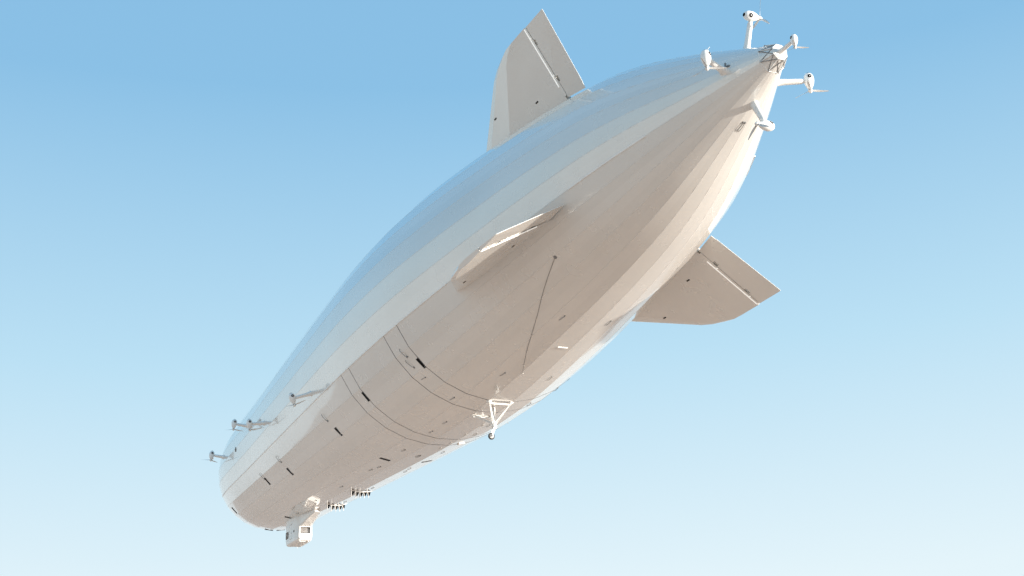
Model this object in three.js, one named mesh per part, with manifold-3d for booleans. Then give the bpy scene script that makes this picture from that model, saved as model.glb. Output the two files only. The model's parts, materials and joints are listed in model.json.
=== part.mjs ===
// A one-tenth scale rigid airship: faceted hull, four fins with control surfaces, thirteen swivelling
// motor pods, a hollow gondola and a castoring tail wheel. Tables hold the real craft's metres.
// Stations count aft from the nose; angles count from the keel, positive to port.
import * as THREE from 'three';
import { mergeVertices } from 'three/addons/utils/BufferGeometryUtils.js';
import Module from 'manifold-3d';

const wasm = await Module();
wasm.setup();

const MM = 100; // model millimetres for each real metre
const ORIGIN_STATION = 55; // station of the model's origin, on the hull's axis
const SEAT = 0.003; // real metres left between parts that touch, 0.3 mm on the model
const DEG = Math.PI / 180;

const FACETS = 30;
const HULL_PROFILE = [ // station, radius over the facets' corners
  [0, 0.6], [0.4, 1.7], [1, 2.6], [2, 3.6], [3.5, 4.65], [5.5, 5.65], [8, 6.55], [11, 7.25],
  [15.1, 7.7], [22.3, 8.02], [30.6, 8.35], [39.3, 8.8], [48.6, 9.2], [57.9, 9.6], [69.2, 9.95],
  [80.5, 9.68], [88, 9.0], [94, 8.25], [99.9, 7.45], [104.2, 6.7], [107.6, 5.95], [111, 4.85],
  [114.4, 3.4], [116.4, 2.5], [118.4, 1.54], [120.7, 0.44],
];
const TAIL_CONE_START = 116.4;

const FIN_ANGLES = {
  lower_port: 60, lower_starboard: -53, upper_port: 148, upper_starboard: -148,
};
const FIN_ROOT_RADIUS = 5.4; // inside the hull, before trimming
const FIN_TIP_RADIUS = 12.95;
const FIN_LEADING_EDGE = { station: 90, radius: 8.7, sweep: 1.744 };
const HINGE_STATION = 102.6;
const TRAILING_EDGE = { root: 104.5, tip: 105 };
const HINGE_HALF_THICKNESS = { root: 0.2, tip: 0.12 };
const FIN_HALF_THICKNESS = { root: 0.36, tip: 0.19 };
const HINGE_GAP = 0.06;
const SURFACE_HULL_GAP = 0.12;
const HINGE_BRACKETS = [8.6, 11.6]; // distances of the hinge brackets from the hull's axis
const BRACKET = { width: 0.3, thickness: 0.16, reach: 0.09, notch: 0.2, clearance: 0.06 };
const HINGE_PIN = { radius: 0.05, grip: 0.25 };

const SIDE_PODS = [ // height of the pod's centre over the hull's corners
  { station: 57.8, angle: 71, height: 1.83 },
  { station: 39.1, angle: 83, height: 1.56 },
  { station: 30.4, angle: 96, height: 1.62 },
  { station: 15.1, angle: 97, height: 1.45 },
];
const TAIL_POD_STATION = 117.7;
const TAIL_POD_HEIGHT = 2;
const TAIL_BLADE_TURNS = [10, 17, 90, 130]; // how far round each propeller rests, in degrees
const TAIL_POD_LEAN = 25 * DEG; // the tail pylons stand square to the tapering tail
const TAIL_PODS = { top: 180, port: 90, bottom: 0, starboard: -90 };
const STERN_POD = { station: 122, scale: 0.7 };

const POD_PROFILE = [ // distance along the pod toward its propeller, radius
  [-0.52, 0.1], [-0.47, 0.2], [-0.3, 0.29], [-0.05, 0.31], [0.22, 0.25], [0.42, 0.17], [0.5, 0.13],
];
const POD_SIDES = 10;
const SPIGOT = { radius: 0.09, top: -0.08, shoulder: -0.37 };
const SHAFT = { radius: 0.04, inner: 0.2, hubStart: 0.555 };
const PROP_PROFILE = [
  [SHAFT.inner + 0.01, SHAFT.radius], [SHAFT.hubStart - 0.001, SHAFT.radius], [SHAFT.hubStart, 0.13],
  [0.7, 0.13], [0.78, 0.08], [0.82, 0.02],
];
const BLADES = 3;
const BLADE_PLANE = 0.63;
const BLADE_SECTIONS = [ // distance from the shaft, chord, thickness, pitch
  [0.08, 0.12, 0.05, 52], [0.35, 0.2, 0.036, 36], [0.8, 0.17, 0.022, 24], [1.2, 0.07, 0.014, 17],
];

const GONDOLA_SECTIONS = [ // station, half width, height of the bottom
  [19.5, 0.5, -9.6], [19.75, 0.85, -10.5], [20.3, 1.02, -10.92], [21.2, 1.05, -10.95],
  [23.9, 1.05, -10.95], [24.6, 0.92, -10.9], [24.95, 0.8, -10.7], [25.15, 0.74, -9.35],
  [27.5, 0.6, -8.95], [29.8, 0.35, -8.55],
];
const GONDOLA_WALL = 0.1;
const GONDOLA_TOP = -7.4;
const CABIN_CEILING = -8.5;
const CABIN_ENDS = [19.85, 24.85];
const WINDOW_BAND = [-10.1, -9.35];
const SIDE_WINDOWS = { port: [[20.4, 21.5]], starboard: [[20.4, 21.5], [21.8, 22.7], [23, 23.9]] };
const DOOR = { front: 22, rear: 23, bottom: -10.42, top: -8.7, gap: 0.05, pin: 0.025 };
const GLASS = 0.03;

const GEAR = { station: 79.2, post: 0.1, brace: 0.065, node: 0.18, nodeTop: 1.3, nodeBottom: 1.7 };
const BRACE_FEET = [[80.5, 0.95], [80.5, -0.95], [76.8, 0.8], [76.8, -0.8]];
const CROSS_BAR = { radius: 0.08, drop: 0.11 };
const CASTOR = { spigot: 0.06, crownTop: 1.755, crown: 0.12, legInner: 0.15, legOuter: 0.19, trail: 0.3 };
const WHEEL = { radius: 0.28, halfWidth: 0.09, axle: 0.04, drop: 2.5 };

const group = new THREE.Group();

function mix(a, b, t) {
  return a + (b - a) * t;
}

function hullRadius(station) {
  const last = HULL_PROFILE.length - 1;
  let k = 0;
  while (k < last - 1 && HULL_PROFILE[k + 1][0] < station) k += 1;
  const [s0, r0] = HULL_PROFILE[k];
  const [s1, r1] = HULL_PROFILE[k + 1];
  return mix(r0, r1, (station - s0) / (s1 - s0));
}

function keelDepth(station) {
  return hullRadius(station) * Math.cos(Math.PI / FACETS);
}

function radial(angle) {
  return [0, Math.sin(angle * DEG), -Math.cos(angle * DEG)];
}

function around(angle) {
  return [0, Math.cos(angle * DEG), Math.sin(angle * DEG)];
}

function cross(a, b) {
  return [a[1] * b[2] - a[2] * b[1], a[2] * b[0] - a[0] * b[2], a[0] * b[1] - a[1] * b[0]];
}

// A frame maps local real metres to model millimetres; ez is ex turned toward ey.
function frame(origin, ex, ez, scale = 1) {
  return { origin, axes: [ex, cross(ez, ex), ez], scale };
}

// Local x is the station, y port and z up; loft() turns the faces of a mirrored frame round.
const SHIP = { origin: [ORIGIN_STATION, 0, 0], axes: [[-1, 0, 0], [0, 1, 0], [0, 0, 1]], scale: 1 };

function place(f, point) {
  return [0, 1, 2].map((i) => {
    const offset = f.axes.reduce((sum, axis, k) => sum + axis[i] * point[k], 0);
    return (f.origin[i] + f.scale * offset) * MM;
  });
}

function signedVolume(verts, tris) {
  let total = 0;
  for (let i = 0; i < tris.length; i += 3) {
    const [a, b, c] = [0, 1, 2].map((k) => verts.slice(3 * tris[i + k], 3 * tris[i + k] + 3));
    const n = cross(b, c);
    total += a[0] * n[0] + a[1] * n[1] + a[2] * n[2];
  }
  return total;
}

// Skins a list of equal rings and closes both ends.
function loft(f, rings) {
  const n = rings[0].length;
  const verts = rings.flatMap((ring) => ring.flatMap((point) => place(f, point)));
  const tris = [];
  for (let k = 0; k + 1 < rings.length; k += 1) {
    for (let i = 0; i < n; i += 1) {
      const a = k * n + i;
      const b = k * n + ((i + 1) % n);
      tris.push(a, b, b + n, a, b + n, a + n);
    }
  }
  const last = (rings.length - 1) * n;
  for (let i = 1; i + 1 < n; i += 1) tris.push(0, i + 1, i, last, last + i, last + i + 1);
  if (signedVolume(verts, tris) < 0) {
    for (let i = 0; i < tris.length; i += 3) [tris[i], tris[i + 1]] = [tris[i + 1], tris[i]];
  }
  const mesh = new wasm.Mesh({
    numProp: 3,
    vertProperties: new Float32Array(verts),
    triVerts: new Uint32Array(tris),
  });
  return new wasm.Manifold(mesh);
}

function unite(solids) {
  return solids.reduce((all, solid) => all.add(solid));
}

function carve(solid, tools) {
  return tools.reduce((rest, tool) => rest.subtract(tool), solid);
}

function box(f, [x0, x1], [y0, y1], [z0, z1]) {
  const ring = (z) => [[x0, y0, z], [x1, y0, z], [x1, y1, z], [x0, y1, z]];
  return loft(f, [ring(z0), ring(z1)]);
}

function ringPoints(sides, point) {
  return Array.from({ length: sides }, (_, i) => point((2 * Math.PI * (i + 0.5)) / sides));
}

function lathe(f, profile, sides) {
  const ring = ([x, r]) => ringPoints(sides, (a) => [x, r * Math.cos(a), r * Math.sin(a)]);
  return loft(f, profile.map(ring));
}

// A straight bar along the frame's z, with an oval section at each height.
function bar(f, sections, sides) {
  const ring = ([z, rx, ry]) => ringPoints(sides, (a) => [rx * Math.cos(a), ry * Math.sin(a), z]);
  return loft(f, sections.map(ring));
}

function tube(from, to, radius, sides) {
  const span = to.map((v, i) => v - from[i]);
  const length = Math.hypot(...span);
  const ez = span.map((v) => v / length);
  const helper = Math.abs(ez[0]) < 0.8 ? [1, 0, 0] : [0, 1, 0];
  const side = cross(helper, ez);
  const ex = side.map((v) => v / Math.hypot(...side));
  return bar(frame(from, ex, ez), [[0, radius, radius], [length, radius, radius]], sides);
}

// A faceted bore that a pin with as many sides can turn in, with SEAT left at the pin's corners.
function boreRadius(pinRadius, sides) {
  return (pinRadius + SEAT) / Math.cos(Math.PI / sides);
}

function addPart(name, solid) {
  const mesh = solid.getMesh();
  const geometry = new THREE.BufferGeometry();
  geometry.setAttribute('position', new THREE.BufferAttribute(new Float32Array(mesh.vertProperties), 3));
  geometry.setIndex(new THREE.BufferAttribute(new Uint32Array(mesh.triVerts), 1));
  const part = new THREE.Mesh(mergeVertices(geometry, 1e-4), new THREE.MeshStandardMaterial());
  part.name = name;
  group.add(part);
}

function hullSolid(grow, from = 0, to = 200) {
  const inside = HULL_PROFILE.filter(([s]) => s > from && s < to);
  const first = Math.max(from, HULL_PROFILE[0][0]);
  const final = Math.min(to, HULL_PROFILE[HULL_PROFILE.length - 1][0]);
  const stations = [first, ...inside.map(([s]) => s).filter((s) => s > first && s < final), final];
  return loft(SHIP, stations.map((s) => {
    const r = hullRadius(s) + grow;
    return ringPoints(FACETS, (a) => [s, r * Math.sin(a), -r * Math.cos(a)]);
  }));
}

const shipPoint = (station, y, z) => [ORIGIN_STATION - station, y, z];

function addHull() {
  addPart('hull_envelope', hullSolid(0, 0, TAIL_CONE_START));
  const nose = [[-SEAT, 0.5], [-0.12, 0.5], [-0.3, 0.3], [-1.2, 0.16], [-1.4, 0.16]];
  addPart('nose_mooring_cone', lathe(SHIP, nose, 16));
}

const grownHull = hullSolid(SEAT + 0.001);

function finLeadingEdge(r) {
  const straight = FIN_LEADING_EDGE.station + (r - FIN_LEADING_EDGE.radius) * FIN_LEADING_EDGE.sweep;
  const rounding = Math.max(0, r - 12.1);
  return straight + 2.1 * rounding * rounding;
}

function alongFin(range, r) {
  return mix(range.root, range.tip, (r - 7) / (FIN_TIP_RADIUS - 7));
}

// Fin frames: local x is the station, y is across the fin, z is the distance from the hull's axis.
function finFrame(angle) {
  return frame([ORIGIN_STATION, 0, 0], [-1, 0, 0], radial(angle));
}

function finSection(r) {
  const front = finLeadingEdge(r);
  const hinge = alongFin(HINGE_HALF_THICKNESS, r);
  const rear = HINGE_STATION - hinge - HINGE_GAP;
  const chord = rear - front;
  const t = alongFin(FIN_HALF_THICKNESS, r);
  const half = [[0.02, 0.3 * t], [0.12, 0.75 * t], [0.4, t], [1, 1.02 * hinge]];
  const upper = half.map(([c, y]) => [front + c * chord, y, r]);
  const lower = half.map(([c, y]) => [front + c * chord, -y, r]).reverse();
  return [[front, 0, r], ...upper, ...lower];
}

function surfaceSection(r, lift) {
  const hinge = alongFin(HINGE_HALF_THICKNESS, r);
  const rear = alongFin(TRAILING_EDGE, r);
  const nose = [90, 135, 180, 225, 270].map((a) => [
    HINGE_STATION + hinge * Math.cos(a * DEG), hinge * Math.sin(a * DEG),
  ]);
  const outline = [...nose, [rear, -0.02], [rear, 0.02]];
  return outline.map(([s, y]) => [s, y, lift ? Math.max(r, hullRadius(s) + SURFACE_HULL_GAP) : r]);
}

function addFin(name, angle) {
  const f = finFrame(angle);
  const rings = [FIN_ROOT_RADIUS, 8.7, 12.1, 12.5, 12.8, FIN_TIP_RADIUS].map(finSection);
  const rearAt = (r) => HINGE_STATION - alongFin(HINGE_HALF_THICKNESS, r) - HINGE_GAP;
  const brackets = HINGE_BRACKETS.flatMap((r) => {
    const half = BRACKET.width / 2;
    const pinHalf = half + BRACKET.clearance + HINGE_PIN.grip;
    const pin = frame([ORIGIN_STATION - HINGE_STATION, 0, 0], [-1, 0, 0], radial(angle));
    return [
      box(f, [rearAt(r) - 0.2, HINGE_STATION + BRACKET.reach],
        [-BRACKET.thickness / 2, BRACKET.thickness / 2], [r - half, r + half]),
      bar(pin, [[r - pinHalf, HINGE_PIN.radius, HINGE_PIN.radius],
        [r + pinHalf, HINGE_PIN.radius, HINGE_PIN.radius]], 10),
    ];
  });
  addPart(`fin_${name}`, unite([loft(f, rings), ...brackets]).subtract(grownHull));
}

function addSurface(name, angle) {
  const f = finFrame(angle);
  const rings = [
    surfaceSection(6.4, true), surfaceSection(9, false), surfaceSection(FIN_TIP_RADIUS - 0.05, false),
  ];
  const pin = frame([ORIGIN_STATION - HINGE_STATION, 0, 0], [-1, 0, 0], radial(angle));
  const bore = boreRadius(HINGE_PIN.radius, 10);
  const cuts = HINGE_BRACKETS.flatMap((r) => {
    const half = BRACKET.width / 2 + BRACKET.clearance;
    const reach = half + HINGE_PIN.grip + 0.03;
    return [
      box(f, [HINGE_STATION - 1, HINGE_STATION + BRACKET.notch], [-1, 1], [r - half, r + half]),
      bar(pin, [[r - reach, bore, bore], [r + reach, bore, bore]], 10),
    ];
  });
  addPart(`control_surface_${name}`, carve(loft(f, rings), cuts));
}

// Pod frames: x points to the propeller, z runs outward along the pylon, origin at the pod's centre.
function sidePodFrame(pod, side) {
  const angle = side * pod.angle;
  const out = radial(angle);
  const down = around(angle).map((v) => -side * v);
  const distance = hullRadius(pod.station) + pod.height;
  const centre = shipPoint(pod.station, distance * out[1], distance * out[2]);
  return frame(centre, down, out);
}

function tailPodFrame(angle) {
  const straight = radial(angle);
  const out = straight.map((v, i) => v * Math.cos(TAIL_POD_LEAN) - (i === 0 ? Math.sin(TAIL_POD_LEAN) : 0));
  const level = Math.abs(straight[1]) > 0.5;
  const toward = level ? [0, 0, -1] : [0, -straight[2], 0];
  const root = hullRadius(TAIL_POD_STATION);
  const base = shipPoint(TAIL_POD_STATION, root * straight[1], root * straight[2]);
  const centre = base.map((v, i) => v + out[i] * TAIL_POD_HEIGHT);
  return frame(centre, toward, out);
}

function pylonSolid(f, height) {
  const sections = [
    [-height - 0.35, 0.3, 0.23], [-height + 0.12, 0.27, 0.2], [-height + 0.4, 0.22, 0.175],
    [SPIGOT.shoulder, 0.18, 0.155],
  ];
  const spigot = [
    [SPIGOT.shoulder - 0.05, SPIGOT.radius, SPIGOT.radius], [SPIGOT.top, SPIGOT.radius, SPIGOT.radius],
  ];
  // The pylon's long section axis lies along the hull, square to the pod's rest axis.
  const turned = { ...f, axes: [f.axes[1], f.axes[0].map((v) => -v), f.axes[2]] };
  return bar(turned, sections, 12).add(bar(turned, spigot, 12));
}

function podSolid(f) {
  const body = lathe(f, POD_PROFILE, POD_SIDES);
  const bore = boreRadius(SPIGOT.radius, 12);
  const shaftBore = boreRadius(SHAFT.radius, POD_SIDES);
  const vent = { ...f, axes: [f.axes[0], f.axes[2].map((v) => -v), f.axes[1]] };
  const ventAt = (sign) => {
    const shifted = vent.axes[0].map((v, i) => vent.origin[i] + v * -0.24 * f.scale);
    const depth = [0.2 * sign, 0.4 * sign];
    return bar({ ...vent, origin: shifted }, depth.map((z) => [z, 0.085, 0.055]), 10);
  };
  return carve(body, [
    bar(f, [[-0.6, bore, bore], [SPIGOT.top + 0.03, bore, bore]], 12),
    lathe(f, [[SHAFT.inner, shaftBore], [0.6, shaftBore]], POD_SIDES),
    lathe(f, [[-0.6, 0.06], [-0.4, 0.06]], 10),
    ventAt(1),
    ventAt(-1),
  ]);
}

function bladeSection([r, chord, thickness, pitch]) {
  const outline = [[-0.5, 0], [-0.2, 0.5], [0.2, 0.42], [0.5, 0], [0.2, -0.42], [-0.2, -0.5]];
  return outline.map(([c, t]) => {
    const along = c * chord;
    const thick = t * thickness;
    const x = along * Math.sin(pitch * DEG) + thick * Math.cos(pitch * DEG);
    const y = along * Math.cos(pitch * DEG) - thick * Math.sin(pitch * DEG);
    return [x, y, r];
  });
}

function propellerSolid(f, turn) {
  const hub = lathe(f, PROP_PROFILE, POD_SIDES);
  const blades = Array.from({ length: BLADES }, (_, i) => {
    const a = (turn + (360 / BLADES) * i) * DEG;
    const ez = f.axes[2].map((v, k) => v * Math.cos(a) + f.axes[1][k] * Math.sin(a));
    const origin = f.origin.map((v, k) => v + f.axes[0][k] * BLADE_PLANE * f.scale);
    return loft(frame(origin, f.axes[0], ez, f.scale), BLADE_SECTIONS.map(bladeSection));
  });
  return unite([hub, ...blades]);
}

function addPod(name, f, turn) {
  addPart(`pod_${name}`, podSolid(f));
  addPart(`propeller_${name}`, propellerSolid(f, turn));
}

function addSidePods() {
  for (const [sideName, side] of [['port', 1], ['starboard', -1]]) {
    SIDE_PODS.forEach((pod, i) => {
      const name = `${sideName}_${i + 1}`;
      const f = sidePodFrame(pod, side);
      addPart(`pylon_${name}`, pylonSolid(f, pod.height).subtract(grownHull));
      addPod(name, f, 20 + 25 * i);
    });
  }
}

function addTail() {
  const pieces = [hullSolid(0, TAIL_CONE_START + SEAT)];
  Object.entries(TAIL_PODS).forEach(([name, angle], i) => {
    const f = tailPodFrame(angle);
    pieces.push(pylonSolid(f, TAIL_POD_HEIGHT));
    addPod(`tail_${name}`, f, TAIL_BLADE_TURNS[i]);
  });
  const stern = frame(shipPoint(STERN_POD.station, 0, 0), [0, 0, -1], [-1, 0, 0], STERN_POD.scale);
  const root = (STERN_POD.station - 120.7) / STERN_POD.scale;
  pieces.push(pylonSolid(stern, root));
  addPod('stern', stern, 75);
  addPart('tail_cone', unite(pieces));
}

function gondolaSection([station, halfWidth, bottom], inset, top) {
  const w = halfWidth - inset;
  const zb = bottom + inset;
  const half = [[w, top], [w, zb + 0.45], [0.94 * w, zb + 0.14], [0.76 * w, zb], [0.3 * w, zb]];
  const left = half.map(([y, z]) => [station, -y, z]).reverse();
  return [...half.map(([y, z]) => [station, y, z]), ...left];
}

function gondolaShape(inset, top, ends) {
  const at = (station) => {
    const k = GONDOLA_SECTIONS.findIndex(([s], i) => i > 0 && s >= station);
    const [a, b] = [GONDOLA_SECTIONS[k - 1], GONDOLA_SECTIONS[k]];
    return a.map((v, i) => mix(v, b[i], (station - a[0]) / (b[0] - a[0])));
  };
  const middle = GONDOLA_SECTIONS.filter(([s]) => s > ends[0] && s < ends[1]);
  const sections = [at(ends[0]), ...middle, at(ends[1])];
  return loft(SHIP, sections.map((section) => gondolaSection(section, inset, top)));
}

function addGondola() {
  const outer = gondolaShape(0, GONDOLA_TOP, [GONDOLA_SECTIONS[0][0], 29.8]);
  const cabin = gondolaShape(GONDOLA_WALL, CABIN_CEILING, CABIN_ENDS);
  const side = { port: [0.8, 1.4], starboard: [-1.4, -0.8] };
  const windows = Object.entries(SIDE_WINDOWS).flatMap(([name, list]) => (
    list.map((span) => box(SHIP, span, side[name], WINDOW_BAND))));
  windows.push(box(SHIP, [19, 20.1], [0.05, 0.52], WINDOW_BAND));
  windows.push(box(SHIP, [19, 20.1], [-0.52, -0.05], WINDOW_BAND));
  windows.push(box(SHIP, [24.7, 26.5], [-0.56, 0.56], [WINDOW_BAND[0], WINDOW_BAND[1] - 0.1]));
  const doorway = box(SHIP, [DOOR.front, DOOR.rear], side.port, [DOOR.bottom, DOOR.top]);
  const doorLeaf = box(SHIP, [DOOR.front + DOOR.gap, DOOR.rear - DOOR.gap], side.port,
    [DOOR.bottom + DOOR.gap, DOOR.top - DOOR.gap]);
  const hingeX = DOOR.front + 2 * DOOR.gap;
  const hingeY = GONDOLA_SECTIONS[3][1] - GONDOLA_WALL / 2;
  const hingeAt = (z) => shipPoint(hingeX, hingeY, z);
  const hingeSpan = (reach) => [hingeAt(DOOR.bottom - reach), hingeAt(DOOR.top + reach)];
  const pinBore = tube(...hingeSpan(0.15), boreRadius(DOOR.pin, 8), 8);
  const shell = carve(outer, [grownHull, cabin, ...windows, doorway, pinBore]);
  addPart('gondola_shell', shell);
  const wall = outer.subtract(cabin).subtract(grownHull);
  addPart('gondola_door', wall.intersect(doorLeaf).add(tube(...hingeSpan(0.12), DOOR.pin, 8)));
  addGlazing(doorway);
  addInterior();
}

function addGlazing(doorway) {
  const band = box(SHIP, [19, 32], [-2, 2], [WINDOW_BAND[0] - 0.06, WINDOW_BAND[1] + 0.06]);
  const ends = (extra) => [CABIN_ENDS[0] + extra, CABIN_ENDS[1] - extra];
  const outside = gondolaShape(GONDOLA_WALL + SEAT, CABIN_CEILING, ends(SEAT));
  const inside = gondolaShape(GONDOLA_WALL + GLASS, CABIN_CEILING, ends(GLASS));
  const clear = box(SHIP, [DOOR.front - 0.1, DOOR.rear + 0.1], [0.7, 1.5], [-12, -8]);
  addPart('gondola_glazing', carve(outside.subtract(inside).intersect(band), [doorway, clear]));
}

function addInterior() {
  const floor = -10.95 + GONDOLA_WALL + SEAT;
  const pieces = [box(SHIP, [21.25, 23.85], [-0.66, 0.66], [floor, floor + 0.06])];
  pieces.push(box(SHIP, [21.27, 21.55], [-0.6, 0.6], [floor, floor + 0.85]));
  for (const station of [21.9, 22.95]) {
    for (const y of [-0.38, 0.38]) {
      pieces.push(box(SHIP, [station, station + 0.5], [y - 0.22, y + 0.22], [floor, floor + 0.45]));
      pieces.push(box(SHIP, [station + 0.4, station + 0.52], [y - 0.22, y + 0.22], [floor, floor + 1.05]));
    }
  }
  addPart('gondola_interior', unite(pieces));
}

function addGear() {
  const keel = keelDepth(GEAR.station);
  const at = (s, y, drop) => shipPoint(s, y, -keel - drop);
  const node = tube(at(GEAR.station, 0, GEAR.nodeBottom), at(GEAR.station, 0, GEAR.nodeTop), GEAR.node, 12);
  const post = tube(at(GEAR.station, 0, GEAR.nodeTop + 0.1), at(GEAR.station, 0, -0.3), GEAR.post, 10);
  const pieces = [node, post];
  for (const [station, y] of BRACE_FEET) {
    const belly = hullRadius(station) - (y * y) / (2 * hullRadius(station));
    const foot = (drop) => shipPoint(station, y, -belly - drop);
    pieces.push(tube(at(GEAR.station, 0, 1.42), foot(0.04), GEAR.brace, 8));
    pieces.push(tube(foot(0.08), foot(-0.3), 0.18, 10));
  }
  const [[aft, halfSpan], , [front, frontSpan]] = BRACE_FEET;
  const barDrop = (station) => hullRadius(station) + CROSS_BAR.drop - keel;
  for (const [station, span] of [[aft, halfSpan], [front, frontSpan]]) {
    const ends = [span, -span].map((y) => at(station, y, barDrop(station)));
    pieces.push(tube(...ends, CROSS_BAR.radius, 8));
  }
  const bore = tube(at(GEAR.station, 0, GEAR.nodeBottom + 0.1), at(GEAR.station, 0, GEAR.nodeTop + 0.08),
    boreRadius(CASTOR.spigot, 10), 10);
  addPart('gear_frame', unite(pieces).subtract(bore).subtract(grownHull));
  addCastor(at);
}

// The castor rests swung to port: local x runs along its trail, y aft and z up from the keel.
function addCastor(at) {
  const f = frame(at(GEAR.station, 0, 0), [0, 1, 0], [0, 0, 1]);
  const { trail, legInner, legOuter } = CASTOR;
  const crownBottom = CASTOR.crownTop + CASTOR.crown;
  const spigot = tube(at(GEAR.station, 0, CASTOR.crownTop + 0.02), at(GEAR.station, 0, GEAR.nodeTop + 0.1),
    CASTOR.spigot, 10);
  const crown = box(f, [-0.12, 0.16], [-legOuter, legOuter], [-crownBottom, -CASTOR.crownTop]);
  const legs = [1, -1].map((side) => {
    const ring = (x, z) => [[-1, legInner], [1, legInner], [1, legOuter], [-1, legOuter]]
      .map(([u, v]) => [x + 0.07 * u, v * side, z]);
    const bottom = -WHEEL.drop - 0.07;
    return loft(f, [ring(0.05, -crownBottom + 0.02), ring(trail, -WHEEL.drop), ring(trail, bottom)]);
  });
  const axle = tube(at(GEAR.station - 0.17, trail, WHEEL.drop), at(GEAR.station + 0.17, trail, WHEEL.drop),
    WHEEL.axle, 10);
  addPart('gear_castor', unite([crown, spigot, ...legs, axle]));
  const wheelFrame = frame(at(GEAR.station, trail, WHEEL.drop), [-1, 0, 0], [0, 0, 1]);
  const tread = [[-0.09, 0.2], [-0.065, 0.27], [0.065, 0.27], [0.09, 0.2]];
  const tyre = lathe(wheelFrame, [tread[0], tread[1], [0, WHEEL.radius], tread[2], tread[3]], 20);
  const axleBore = boreRadius(WHEEL.axle, 10);
  const bore = lathe(wheelFrame, [[-0.2, axleBore], [0.2, axleBore]], 10);
  addPart('gear_wheel', tyre.subtract(bore));
}

addHull();
for (const [name, angle] of Object.entries(FIN_ANGLES)) {
  addFin(name, angle);
  addSurface(name, angle);
}
addSidePods();
addTail();
addGondola();
addGear();

export default group;
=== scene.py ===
"""Looks of the one-tenth scale airship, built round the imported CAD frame.

Tables hold the real craft's metres: stations count aft from the nose and angles count from the keel,
positive to port. place() and hull_point() turn them into the model's metres.
"""

import json
import math

import bpy
import numpy as np
from mathutils import Matrix, Vector

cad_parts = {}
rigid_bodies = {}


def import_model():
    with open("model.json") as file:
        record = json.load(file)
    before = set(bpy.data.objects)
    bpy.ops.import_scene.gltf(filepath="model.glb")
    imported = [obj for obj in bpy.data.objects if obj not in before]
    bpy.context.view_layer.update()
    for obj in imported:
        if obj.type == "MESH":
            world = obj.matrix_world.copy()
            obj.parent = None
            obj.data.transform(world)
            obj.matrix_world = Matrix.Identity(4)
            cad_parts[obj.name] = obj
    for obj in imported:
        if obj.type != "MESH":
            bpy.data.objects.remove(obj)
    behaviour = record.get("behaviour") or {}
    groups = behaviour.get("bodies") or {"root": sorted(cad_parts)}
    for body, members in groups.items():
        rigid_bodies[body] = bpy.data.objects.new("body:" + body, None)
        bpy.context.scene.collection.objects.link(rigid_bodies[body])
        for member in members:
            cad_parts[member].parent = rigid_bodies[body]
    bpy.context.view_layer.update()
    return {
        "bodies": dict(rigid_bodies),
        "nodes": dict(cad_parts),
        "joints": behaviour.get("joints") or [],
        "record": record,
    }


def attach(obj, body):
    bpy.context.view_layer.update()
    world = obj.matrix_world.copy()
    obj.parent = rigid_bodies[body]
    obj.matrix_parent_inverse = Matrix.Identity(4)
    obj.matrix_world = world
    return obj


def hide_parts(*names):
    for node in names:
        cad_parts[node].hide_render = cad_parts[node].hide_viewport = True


SCALE = 0.1
ORIGIN_STATION = 55
FACETS = 30
FACET_WIDTH = 360 / FACETS
HULL_PROFILE = [
    (0, 0.6), (0.4, 1.7), (1, 2.6), (2, 3.6), (3.5, 4.65), (5.5, 5.65), (8, 6.55), (11, 7.25),
    (15.1, 7.7), (22.3, 8.02), (30.6, 8.35), (39.3, 8.8), (48.6, 9.2), (57.9, 9.6), (69.2, 9.95),
    (80.5, 9.68), (88, 9.0), (94, 8.25), (99.9, 7.45), (104.2, 6.7), (107.6, 5.95), (111, 4.85),
    (114.4, 3.4), (116.4, 2.5), (118.4, 1.54), (120.7, 0.44),
]
HULL_END = 120.7
TAIL_START = 116.4
TAIL_GAP = 0.003
TAIL_RINGS = 14
NOSE_STATIONS = [0, 0.05, 0.12, 0.2, 0.3, 0.45, 0.65, 0.9, 1.2, 1.6, 2.1, 2.7, 3.4, 4.2, 5.1]
HULL_STEP = 1.1
COLUMNS_PER_FACET = 4
FACET_CROWN = 0.008
CROWN_FADE_RADIUS = 6

KEY_DIRECTION = (1.1, 1, 0.0)
KEY_STRENGTH = 8.8
KEY_COLOR = (1.0, 0.93, 0.84)
KEY_ANGLE = 2
SKY = [
    (0.0, (0.84, 0.93, 0.97)), (0.12, (0.78, 0.91, 0.965)), (0.3, (0.5, 0.75, 0.91)),
    (0.5, (0.26, 0.53, 0.79)), (1.0, (0.2, 0.44, 0.72)),
]

CAMERA_PLACE = (-11.464, 4.168, -3.725)
CAMERA_FORWARD = (0.8239, -0.4376, 0.3602)
CAMERA_UP = (-0.3489, 0.1092, 0.9308)
CAMERA_LENS = 44.13
CAMERA_SHIFT = (-0.0406, -0.0086)
CAMERA_SENSOR = 36
CAMERA_CLIP = (0.1, 400)
FLOOR_HEIGHT = -3.8
FLOOR_REACH = 45
FLOOR_COLOR = (0.72, 0.57, 0.47)
FLOOR_GLOW = (0.3, 0.15, 0.052)

FIN_ANGLES = {"lower_port": 60, "lower_starboard": -53, "upper_port": 148, "upper_starboard": -148}
HINGE_STATION = 102.6
SIDE_PODS = [(57.8, 71, 1.83), (39.1, 83, 1.56), (30.4, 96, 1.62), (15.1, 97, 1.45)]
TAIL_PODS = {"top": 180, "port": 90, "bottom": 0, "starboard": -90}
TAIL_BLADE_TURNS = [10, 17, 90, 130]
TAIL_POD_STATION = 117.7
TAIL_POD_HEIGHT = 2
TAIL_POD_LEAN = math.radians(25)
STERN_STATION = 122
STERN_SCALE = 0.7

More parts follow.
